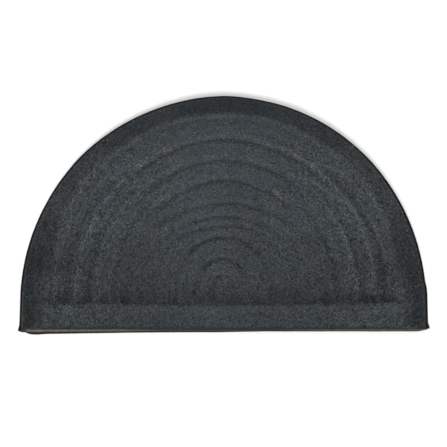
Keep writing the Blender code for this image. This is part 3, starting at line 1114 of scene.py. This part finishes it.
# loose fibres that lie bent over the tufts
def buildCurls(material):
    s = curlSettings
    rng = np.random.default_rng(s["seed"])
    x = rng.uniform(-matShape["halfWidth"], matShape["halfWidth"], 3 * s["count"])
    y = rng.uniform(matShape["front"], matShape["back"], 3 * s["count"])
    inside = (insideArch(x, y) > s["edgeKeep"]) & (fromFront(y) > s["frontKeep"])
    inside &= rng.uniform(0, 1, len(x)) > s["fewerBeside"] * besideLegs(x, y)
    x, y = x[inside][:s["count"]], y[inside][:s["count"]]
    count = len(x)
    turn = archDirection(x, y) + rng.normal(0, s["turnSpread"], count)
    heading = np.stack([np.cos(turn), np.sin(turn)], 1)
    sideways = np.stack([-heading[:, 1], heading[:, 0]], 1)
    half = rng.uniform(*s["length"], count)[:, None] / 2
    middle = np.stack([x, y], 1)
    bent = sideways * half * 2 * s["bend"] * rng.uniform(-1, 1, (count, 1))
    over = rng.uniform(*s["over"], count)
    lines = np.empty((count, 3, 3))
    for step, place in enumerate((middle - heading * half + bent, middle, middle + heading * half + bent)):
        sunk = 0 if step == 1 else rng.uniform(*s["sink"], count)
        lines[:, step, :2] = place
        lines[:, step, 2] = pileTop(place[:, 0], place[:, 1]) + over - sunk
    radii = np.repeat(rng.uniform(*s["radius"], (count, 1)), 2, axis=1)
    coarse = tuftSettings["coarse"] + tuftSettings["coarser"] * besideLegs(x, y)
    tone = np.clip(s["tone"] + coarse * rng.normal(0, s["toneSpread"], count), *s["toneRange"])
    tan = rng.uniform(0, 1, count) < s["tan"] + s["wornTan"] * wornShare(x, y)
    undyed = np.where(tan, rng.uniform(*s["undyed"], count), 0)
    values = {"tone": tone, "shade": dyeAndPaintedShade(x, y, rng), "undyed": undyed}
    return fibrePieces("coirCurls", s["pieces"], x, lines, radii, values, material)


archPoints = 2001  # of the line that is walked round the arch


# a walk round the outline at a given inset: places and outward directions
def outlineWalk(inset, pitch):
    halfWidth, rise = outlineInset(inset)
    front, spring = matShape["front"], matShape["spring"]
    turn = np.linspace(0, math.pi, archPoints)
    arch = np.column_stack([halfWidth * np.cos(turn), spring + rise * np.sin(turn)])
    route = np.vstack([arch, [(-halfWidth, front), (halfWidth, front), (halfWidth, spring)]])
    steps = np.linalg.norm(np.diff(route, axis=0), axis=1)
    along = np.concatenate([[0], np.cumsum(steps)])
    walked = np.union1d(np.arange(0, along[-1], pitch), along[-3:-1])  # with the two front corners
    place = np.column_stack([np.interp(walked, along, route[:, axis]) for axis in range(2)])
    segment = np.clip(np.searchsorted(along, walked, side="right") - 1, 0, len(steps) - 1)
    heading = (route[segment + 1] - route[segment]) / steps[segment][:, None]
    return place, np.column_stack([heading[:, 1], -heading[:, 0]])


edgeSettings = {
    "frontPitch": 0.00016,
    "roundPitch": 0.00032,
    "frontInset": 0.0035,
    "facing": 0.9,  # how squarely the straight edge faces the front, at least
    "radius": (0.00022, 0.00036),
    "start": (0.0, 0.45),  # where a strand starts, as a share of the side's height
    "reach": (0.35, 0.75),  # how far up it goes from there
    "highest": 0.97,
    "footGap": 0.0002,  # between the side's foot and the strands
    "headGap": 0.0012,  # and under the fibre tips
    "jitter": 0.0004,  # along the edge, of a strand and of its points
    "pointJitter": 0.00025,
    "out": (-0.0002, 0.0005),
    "shade": 0.24,
    "leftLegShade": 0.70,  # the dye is pale on the left leg's side
    "lowerDark": 0.72,  # how much darker the strands are painted towards the backing, where shade falls, and lighter towards the top
    "tone": (0.97, 0.18),  # mean and spread
    "toneRange": (0.5, 1.6),
}


# the cut side of the pile: strands that stand on the backing, tan under the dyed top
def buildCutEdge(name, material, front, seed):
    s = edgeSettings
    rng = np.random.default_rng(seed)
    if front:
        place, outward = outlineWalk(s["frontInset"], s["frontPitch"])
    else:
        place, outward = outlineWalk(bedSettings["edgeInset"], s["roundPitch"])
    chosen = (outward[:, 1] < -s["facing"]) == front
    place, outward = place[chosen], outward[chosen]
    count = len(place)
    along = np.column_stack([-outward[:, 1], outward[:, 0]])
    place = place + along * rng.normal(0, s["jitter"], (count, 1))
    start = rng.uniform(*s["start"], count)
    end = np.clip(start + rng.uniform(*s["reach"], count), 0, s["highest"])
    low, high = pileLow.z + s["footGap"], relief["top"] - s["headGap"]
    shares = np.stack([start, (start + end) / 2, end], 1)
    lean = 0.0 if front else bedSettings["edgeInset"] - bedSettings["footInset"]
    lines = np.empty((count, 3, 3))
    for step in range(3):
        share = shares[:, step]
        out = lean * (1 - share) + rng.uniform(*s["out"], count)
        spot = place + outward * out[:, None] + along * rng.normal(0, s["pointJitter"], (count, 1))
        if front:
            spot[:, 1] -= matShape["pileSpreadShare"] * (1 - share) * frontSpread(spot[:, 0])
        lines[:, step, :2] = spot
        lines[:, step, 2] = low + (high - low) * share
    radii = np.repeat(rng.uniform(*s["radius"], (count, 1)), 2, axis=1)
    tone = np.clip(rng.normal(*s["tone"], count), *s["toneRange"])
    # painted shade towards the backing, lighter towards the top
    tone = tone * (1 + s["lowerDark"] * (2 * shares[:, 1] - 1))
    leftLeg = (place[:, 0] < 0) * legShare(place[:, 1]) * (not front)
    shade = s["shade"] + (s["leftLegShade"] - s["shade"]) * leftLeg
    values = {"tone": tone, "shade": shade, "undyed": undyedShare(lines[:, 1], front)}
    return fibrePiece(name, lines, radii, values, material)


backingSettings = {
    "step": 0.0022,
    "topRound": 0.0008,
    "footRound": 0.0003,
    "roundSteps": 4,
    "wave": (0.0002, 0.02, 90),
}


def buildBacking(material):
    s = backingSettings
    place, _ = outlineWalk(0.0, s["step"])
    outward = outwardDirections(place)
    x, y = place.T  # these change the places too
    left = x < 0
    # the front edge follows the slanted foot of the pile
    onFront = np.abs(fromFront(y)) < tiny
    rightFoot = ~onFront & ~left & (fromFront(y) < matShape["rightCutLength"])
    cutShare = matShape["rightCut"] / matShape["rightCutLength"]
    y[rightFoot] += cutShare * (matShape["rightCutLength"] - fromFront(y[rightFoot]))
    y[onFront] -= frontSpread(x[onFront])
    side = smooth(1 - (fromFront(y) - np.where(left, 0, matShape["rightCut"])) / matShape["flareLength"])
    nearCorner = smooth(1 - (matShape["halfWidth"] - np.abs(x)) / matShape["flareLength"])
    flareLeft, flareRight = matShape["cornerFlare"]
    x += np.where(left, -flareLeft, flareRight) * side * nearCorner
    place += outward * unevenBy(x, y, s["wave"])[:, None]
    turns = quarterTurns(s["roundSteps"])
    top, foot, high = s["topRound"], s["footRound"], backingHigh.z
    profile = [(top * (1 - math.sin(turn)), high - top * (1 - math.cos(turn))) for turn in turns]
    profile += [(foot * (1 - math.cos(turn)), foot * (1 - math.sin(turn))) for turn in turns]
    points = [np.column_stack([place - outward * inward, np.full(len(place), z)]) for inward, z in profile]
    rings = np.arange(len(profile) * len(place)).reshape(len(profile), -1)
    faces = [face for ring, below in zip(rings, rings[1:]) for face in ringFaces(ring, below)]
    faces += [rings[0].tolist(), rings[-1, ::-1].tolist()]
    piece = meshPiece("vinylBacking", np.vstack(points), faces, material)
    fibreDust = np.interp(x, dyeLine["stops"], dyeLine["tan"]) * onFront
    addValues(piece.data, {"dusted": np.tile(fibreDust, len(profile))})
    return piece


cameraSettings = {
    "elevation": 76.8,  # degrees above the floor
    "distance": 3.0,
    "focal": 1605.4,  # in the photo's pixels
    "photoWidth": 447,
    "sensor": 36.0,
    "aim": (0.0006, -0.0192, 0.0),
}


def addCamera():
    s = cameraSettings
    data = bpy.data.cameras.new("camera")
    data.sensor_width = s["sensor"]
    data.lens = s["sensor"] * s["focal"] / s["photoWidth"]
    camera = addToScene("camera", data)
    tilt = math.radians(s["elevation"])
    camera.location = Vector(s["aim"]) + Vector((0, -math.cos(tilt), math.sin(tilt))) * s["distance"]
    camera.rotation_euler = (math.pi / 2 - tilt, 0, 0)
    bpy.context.scene.camera = camera


studioSettings = {
    "keyElevation": 40.0,
    "keyTurn": -8.0,
    "keyStrength": 2.2,
    "keySoftness": 22.0,
    "sky": {"Color": (1, 1, 1, 1), "Strength": 0.80},
    "floor": {"Base Color": (0.96, 0.96, 0.96, 1), "Roughness": 0.9, "Specular IOR Level": 0.0},
    "floorSize": 14.0,
}


def addLights():
    s = studioSettings
    data = bpy.data.lights.new("key", "SUN")
    data.energy = s["keyStrength"]
    data.angle = math.radians(s["keySoftness"])
    key = addToScene("key", data)
    key.rotation_euler = (math.radians(90 - s["keyElevation"]), 0, math.radians(s["keyTurn"]))
    world = bpy.data.worlds.new("studio")
    world.use_nodes = True
    setInputs(world.node_tree.nodes["Background"], s["sky"])
    bpy.context.scene.world = world
    bpy.context.scene.view_settings.view_transform = "Standard"


def addFloor():
    half = studioSettings["floorSize"] / 2
    material, _, _ = newMaterial("floorPaint", studioSettings["floor"])
    corners = [(-half, -half, 0), (half, -half, 0), (half, half, 0), (-half, half, 0)]
    floor = meshPiece("floor", corners, [(0, 1, 2, 3)], material)


dyeGroup = makeDyeGroup()
grainGroup = makeGrainGroup()
coirBedFinish = makeCoir("coirBedFinish", dyeGroup, grainGroup)
coirFibre = makeCoir("coirFibre", dyeGroup)
vinyl = makeVinyl(grainGroup)
print("materials made")

backing = buildBacking(vinyl)
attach(backing, "root")
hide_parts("backing")
print("backing made")

bed = buildBed(coirBedFinish)
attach(bed, "root")
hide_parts("coir_pile")
print("bed made")

fibres = buildTufts(coirFibre) + buildCurls(coirFibre)
fibres.append(buildCutEdge("frontCutEdge", coirFibre, True, 31))
fibres.append(buildCutEdge("roundCutEdge", coirFibre, False, 32))
for piece in fibres:
    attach(piece, "root")
print("fibres made")

addFloor()
addLights()
addCamera()
print("studio set")

print("fibre triangles", sum(len(piece.data.polygons) for piece in fibres))
